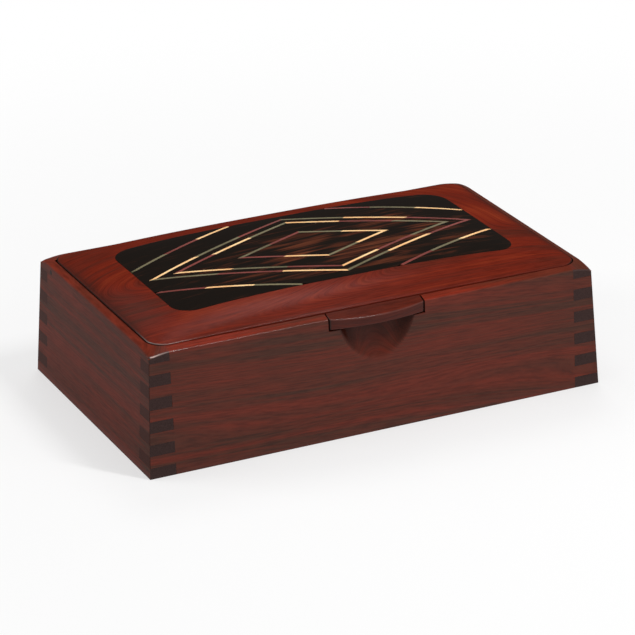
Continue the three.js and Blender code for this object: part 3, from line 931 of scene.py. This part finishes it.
# %% Make the lid's board
hinge_y, hinge_z, pin_hole = 68.85 * mm, 73.8 * mm, 1.65 * mm
hole_end, past_lid = 130.1 * mm, 150 * mm
slot_low = (-22.05 * mm, -90 * mm, 72.75 * mm)
slot_high = (22.05 * mm, -74.7 * mm, 75.85 * mm)
lid_board = to_object(loft(rings, polish_and_highlight_rows=(4, 5, 6)), "crowned_board", lid_wood)
for side in (-1, 1):
    carve(lid_board, drill_tool(pin_hole, *[(side * x, hinge_y, hinge_z) for x in (hole_end, past_lid)]))
carve(lid_board, block_tool(slot_low, slot_high))
finish_piece(lid_board, "lid", "lid_wood", "lid_board")
print("faces of the lid's board:", len(lid_board.data.polygons))

# %% [markdown]
# ## Stringing
# Forty-four thin strips of three timbers lie in narrow grooves, planed flush with the panel, in nested
# lozenges. A flat bar would sink into the crown at its middle or stand out at its ends. So every strip is
# swept along its side of the lozenge in short steps that take their height from the crown. The grooves are
# swept the same way, a hair wider.

# %% Plan of the lozenges
string_width, string_thickness, string_step = 1.9 * mm, 1.2 * mm, 8 * mm
lozenge_slope = 98.2 / 222
above_crown = 2 * mm
before_corner = 1e-9
lozenges = [("small", 104 * mm, 2), ("inner", 190 * mm, 3), ("outer", 222 * mm, 3), ("corner", 318 * mm, 3)]
lozenge_sides = ["back_right", "back_left", "front_left", "front_right"]


def lozenge_point(length, perimeter):
    """A point on a lozenge, where perimeter counts its sides from the right corner."""
    side, share = int(perimeter) % 4, perimeter % 1
    x, y = length / 2, length / 2 * lozenge_slope
    corners = [(x, 0), (0, y), (-x, 0), (0, -y)]
    return toward(corners[side], corners[(side + 1) % 4], share)


def string_ring(length, perimeter, clearance, top, bottom):
    """The cross-section of a string or of its groove, at a place on the lozenge."""
    to_side = length / 2 * lozenge_slope / hypot(1, lozenge_slope)
    outer = lozenge_point(length * (1 + clearance / to_side), perimeter)
    inner = lozenge_point(length * (1 - (string_width + clearance) / to_side), perimeter)
    corners = [(inner, bottom), (outer, bottom), (outer, top), (inner, top)]
    return [(x, y, crown_height(x, y) + lift) for (x, y), lift in corners]

# %% Make the panel with its grooves
blank_step = 2 * mm
prism_heights = (70 * mm, 95 * mm)


def groove_tool(length, steps=14):
    """A closed channel round a lozenge."""
    stations = [side + step / steps for side in range(4) for step in range(steps)]
    bottom = -string_thickness - glue_line
    rings = [string_ring(length, place, glue_line, above_crown, bottom) for place in stations]
    shape = loft(rings + rings[:1], capped=False)
    bmesh.ops.remove_doubles(shape, verts=shape.verts, dist=1e-7)
    bmesh.ops.recalc_face_normals(shape, faces=shape.faces)
    return to_object(shape, "groove_tool")


blank = bmesh.new()
columns, rows = [int(half / blank_step) + 2 for half in panel_half]
bmesh.ops.create_grid(blank, x_segments=2 * columns, y_segments=2 * rows, size=1)
for vertex in blank.verts:
    x, y = vertex.co.x * columns * blank_step, vertex.co.y * rows * blank_step
    vertex.co = (x, y, crown_height(x, y))
for part in bmesh.ops.extrude_face_region(blank, geom=blank.faces[:])["geom"]:
    if isinstance(part, bmesh.types.BMVert):
        part.co.z = panel_seat + glue_line
bmesh.ops.recalc_face_normals(blank, faces=blank.faces)
panel = to_object(blank, "grooved_panel", panel_wood)
outline = rounded_outline(panel_half, panel_corner, glue_line)
prism = loft([[(x, y, height) for x, y in outline] for height in prism_heights])
carve(panel, to_object(prism, "panel_tool"), "INTERSECT")
for _, length, _ in lozenges:
    carve(panel, groove_tool(length))
finish_piece(panel, "lid", "panel_wood", "lid_panel")
print("faces of the panel:", len(panel.data.polygons))

# %% [markdown]
# ### Timbers of the strings
# A pale creamy wood, a grey-green one and a red-brown one. Strips are cut from different boards. Each could
# have a tone of its own, but a slow noise in space does that by itself, and a fine one gives the grain.

# %% Stringing timbers
def string_timber(name, dark, light):
    """A fine-grained timber for strings."""
    material, tree, surface = fresh_material(name)
    fine = noise(here(tree), 900, detail=3, roughness=0.7)
    tone = mixed(0.45, noise(here(tree), 55, detail=1), fine)
    paint(surface, ramp(tone, [dark, light]), between(fine, 0.5, 0.4), fine, 0.1, 0.0001,
          {"Specular IOR Level": 0.04, "Coat Weight": 0.05, "Coat Roughness": 0.2})
    return material


string_woods = {
    "cream": string_timber("cream_timber", (0.9, 0.44, 0.17), (1, 0.7, 0.35)),
    "grey_green": string_timber("grey_green_timber", (0.1, 0.085, 0.04), (0.2, 0.17, 0.09)),
    "red_brown": string_timber("red_brown_timber", (0.13, 0.022, 0.014), (0.22, 0.04, 0.03)),
}

# %% Lay the strings
def trim_to_panel(shape):
    """Cuts a string off at the straight edges of the panel."""
    for axis in (0, 1):
        for side in (-1, 1):
            normal = Vector()
            normal[axis] = side
            reach = normal * (panel_half[axis] - glue_line)
            whole = shape.verts[:] + shape.edges[:] + shape.faces[:]
            cut = bmesh.ops.bisect_plane(shape, geom=whole, plane_co=reach, plane_no=normal, clear_outer=True)
            rim = [part for part in cut["geom_cut"] if isinstance(part, bmesh.types.BMEdge)]
            if rim:
                bmesh.ops.contextual_create(shape, geom=rim)


def lay_string(run, name, length, side, order, first, last):
    """One strip of a lozenge's side, between two shares of that side."""
    give = glue_line / 2 / (length / 2 * hypot(1, lozenge_slope))
    first, last = first + give, last - give
    steps = max(4, int((last - first) * length / string_step))
    places = [side + first + (last - first) * step / steps for step in range(steps + 1)]
    places[-1] = min(places[-1], side + 1 - before_corner)
    shape = loft([string_ring(length, place, 0, 0, -string_thickness) for place in places])
    trim_to_panel(shape)
    timber = list(string_woods)[(order + side + run) % len(string_woods)]
    node = f"inlay_{name}_{lozenge_sides[side]}_{order + 1}_{timber}"
    strip = to_object(shape, "laid_" + node, string_woods[timber])
    finish_piece(strip, "lid", timber + "_inlay", node)


for run, (name, length, pieces) in enumerate(lozenges):
    start = max(0, 1 - panel_half[0] / (length / 2))
    end = min(1, panel_half[1] / (length / 2 * lozenge_slope))
    share = (end - start) / pieces
    for side in range(4):
        turned = side % 2 == 1
        first = 1 - end if turned else start
        for piece in range(pieces):
            order = pieces - 1 - piece if turned else piece
            lay_string(run, name, length, side, order, first + piece * share, first + (piece + 1) * share)
print("strips laid:", sum(4 * pieces for _, _, pieces in lozenges))

# %% [markdown]
# ## Pull
# The pull is a bar of a darker red wood, bowed at the front and glued to the lid's edge. Its solid is right
# apart from its crisp edges. Fingers meet those first, so the ones in front are rounded over by a bevel, and
# the hidden tongue is left square.

# %% Round the pull
# The rounded edges get a thicker coat and a painted highlight.
pull_ease, pull_polish_and_highlight = 0.8 * mm, 0.15
blunt = radians(25)
clear_of_lid, short = 1.5 * mm, 3 * mm
shape = solid_copy("lid_pull")
weight = shape.edges.layers.float.new("bevel_weight_edge")
for edge in shape.edges:
    before_lid = -lid_half[1] - max(vertex.co.y for vertex in edge.verts)
    if edge.calc_face_angle(0) < blunt:
        continue
    if before_lid > clear_of_lid:
        edge[weight] = 1
    elif before_lid > 0 and edge.calc_length() > short:
        edge[weight] = 0.5
pull = to_object(shape, "rounded_pull", pull_wood)
ease_edges(pull, pull_ease, pull_polish_and_highlight)
finish_piece(pull, "lid", "pull_wood", "lid_pull")
print("faces of the pull:", len(pull.data.polygons))

# %% [markdown]
# ## Lining
# Inside lies a thin pad: a board covered in suede, fuller in its middle than along its edges, with sides
# that draw in between the corners. A cloth could be simulated over a board, but so thin a pad needs no more
# than a loft of rings like the lid's, with a round edge.

# %% Suede
suede, tree, surface = fresh_material("charcoal_suede")
brushed = noise(here(tree), 45, detail=3, roughness=0.6)
nap = noise(here(tree), 2600, roughness=0.7)
colour = ramp(mixed(0.35, brushed, nap), [(0.012, 0.011, 0.012), (0.035, 0.032, 0.034)])
paint(surface, colour, between(brushed, 0.85, 1), nap, 0.4, 0.0003,
      {"Specular IOR Level": 0.1, "Sheen Weight": 0.4, "Sheen Roughness": 0.4})

# %% Make the pad
pad_low, pad_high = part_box("base_lining")
pad_half = (pad_high.x, pad_high.y)
pad_corner, pad_ease, pad_crown, pad_waist, pad_foot = 3 * mm, 1.2 * mm, 0.9 * mm, 0.5 * mm, 0.3 * mm
edge_flatness, pad_steps, pad_middle = 0.6, 12, 4 * mm


def pad_ring(inset, height):
    """A ring of the pad, with its sides drawn in between the corners."""
    ring = []
    for x, y in rounded_outline(pad_half, pad_corner, inset):
        waist_x = pad_waist * (1 - (y / pad_half[1]) ** 2)
        waist_y = pad_waist * (1 - (x / pad_half[0]) ** 2)
        ring.append((x * (1 - waist_x / pad_half[0]), y * (1 - waist_y / pad_half[1]), height))
    return ring


edge_top = pad_high.z - pad_crown
rings = [pad_ring(pad_foot, pad_low.z), pad_ring(0, pad_low.z + pad_foot)]
rings += [pad_ring(inset, edge_top - drop * edge_flatness) for inset, drop in round_edge(pad_ease)]
for step in range(1, pad_steps + 1):
    share = step / pad_steps
    inset = pad_ease + share * (pad_half[1] - pad_ease - pad_middle)
    rings.append(pad_ring(inset, edge_top + pad_crown * sqrt(1 - (1 - share) ** 2)))
pad = to_object(loft(rings), "suede_pad", suede)
finish_piece(pad, "box", "suede", "base_lining")
print("pad:", [round(value / mm, 1) for value in pad.dimensions], "mm")

# %% [markdown]
# ## Small parts and the bottom
# The pins, their plugs and the bottom could be made anew, but their solids are right as they are. They get
# finishes: polished brass, dark end grain that shows as a dot on the wall, and birch plywood.

# %% Brass
brass, tree, surface = fresh_material("turned_brass")
rings = noise(vector("MULTIPLY", here(tree), (6000, 300, 300)))
tarnish = noise(here(tree), 400, detail=3)
colour = ramp(tarnish, [(0.42, 0.27, 0.07), (0.62, 0.42, 0.14)])
paint(surface, colour, between(rings, 0.22, 0.4), rings, 0.1, 0.0001, {"Metallic": 1})

# %% Plywood
ply_wave = 4000
plywood, tree, surface = fresh_material("birch_plywood")
grain = noise(vector("MULTIPLY", here(tree), (12, 260, 260)), detail=4, roughness=0.6)
veneer = ramp(grain, [(0.36, 0.22, 0.11), (0.55, 0.37, 0.2)])
plies = number("SINE", number("MULTIPLY", axis_of(here(tree), "Z"), ply_wave))
edge = ramp(plies, [(0.3, 0.17, 0.08), (0.5, 0.33, 0.18)], (0.3, 0.7))
flat = number("ABSOLUTE", axis_of(facing(tree), "Z"))
colour = mixed(flat, edge, veneer, "RGBA")
paint(surface, colour, between(grain, 0.7, 0.55), grain, 0.15, 0.0002, {"Specular IOR Level": 0.2})

# %% Dress the small solids
def dress(node, material):
    """Gives a solid of the part its finish."""
    nodes[node].data.materials.clear()
    nodes[node].data.materials.append(material)
    print(node, "gets", material.name)


plug_wood = lacquered_wood("plug_wood", pull_tones, pull_places, 0.004, end_tone=(0.02, 0.01, 0.008))
dress("bottom_panel", plywood)
for hand in ("left", "right"):
    dress(hand + "_pin_plug", plug_wood)
    dress(hand + "_hinge_pin", brass)
